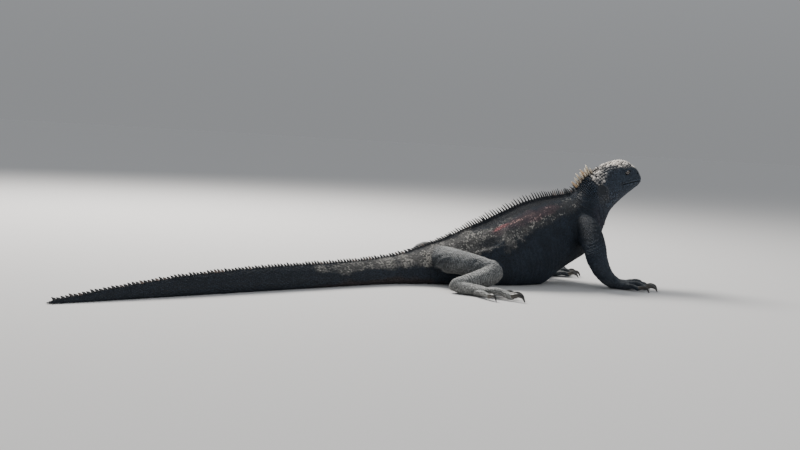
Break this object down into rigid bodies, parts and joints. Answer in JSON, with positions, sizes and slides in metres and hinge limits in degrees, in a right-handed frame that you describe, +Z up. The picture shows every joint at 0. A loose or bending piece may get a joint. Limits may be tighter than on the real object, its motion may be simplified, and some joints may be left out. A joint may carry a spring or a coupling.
{
  "type": "marine iguana",
  "caption": "Life-size marine iguana resting on its belly and tail, chest raised on straight forelegs, head up, with a spined crest from nape to tail tip.",
  "frame": {"origin": "on the floor under the middle of the belly, in the animal's middle plane", "axes": "+X forward along the trunk towards the head, +Y to the animal's left, +Z up; the floor is z = 0"},
  "size_m": [0.9912, 0.4253, 0.2104],
  "materials": {
    "trunk": "dry matte scaly skin, charcoal",
    "limb": "dry matte scaly skin, grey",
    "head": "rough scutes crusted with pale salt",
    "claw": "dark horn, satin",
    "eye": "wet gloss"
  },
  "bodies": {
    "root": {"claw_fore_left_1": "claw", "claw_fore_left_2": "claw", "claw_fore_left_3": "claw", "claw_fore_left_4": "claw", "claw_fore_left_5": "claw", "claw_fore_right_1": "claw", "claw_fore_right_2": "claw", "claw_fore_right_3": "claw", "claw_fore_right_4": "claw", "claw_fore_right_5": "claw", "claw_hind_left_1": "claw", "claw_hind_left_2": "claw", "claw_hind_left_3": "claw", "claw_hind_left_4": "claw", "claw_hind_left_5": "claw", "claw_hind_right_1": "claw", "claw_hind_right_2": "claw", "claw_hind_right_3": "claw", "claw_hind_right_4": "claw", "claw_hind_right_5": "claw", "eye_left": "eye", "eye_right": "eye", "foot_left": "limb", "foot_right": "limb", "forearm_left": "limb", "forearm_right": "limb", "hand_left": "limb", "hand_right": "limb", "head": "head", "lower_jaw": "head", "neck": "trunk", "shank_left": "limb", "shank_right": "limb", "tail_base": "trunk", "tail_middle": "trunk", "tail_tip": "trunk", "thigh_left": "limb", "thigh_right": "limb", "torso": "trunk", "upper_arm_left": "limb", "upper_arm_right": "limb"}
  },
  "joints": []
}
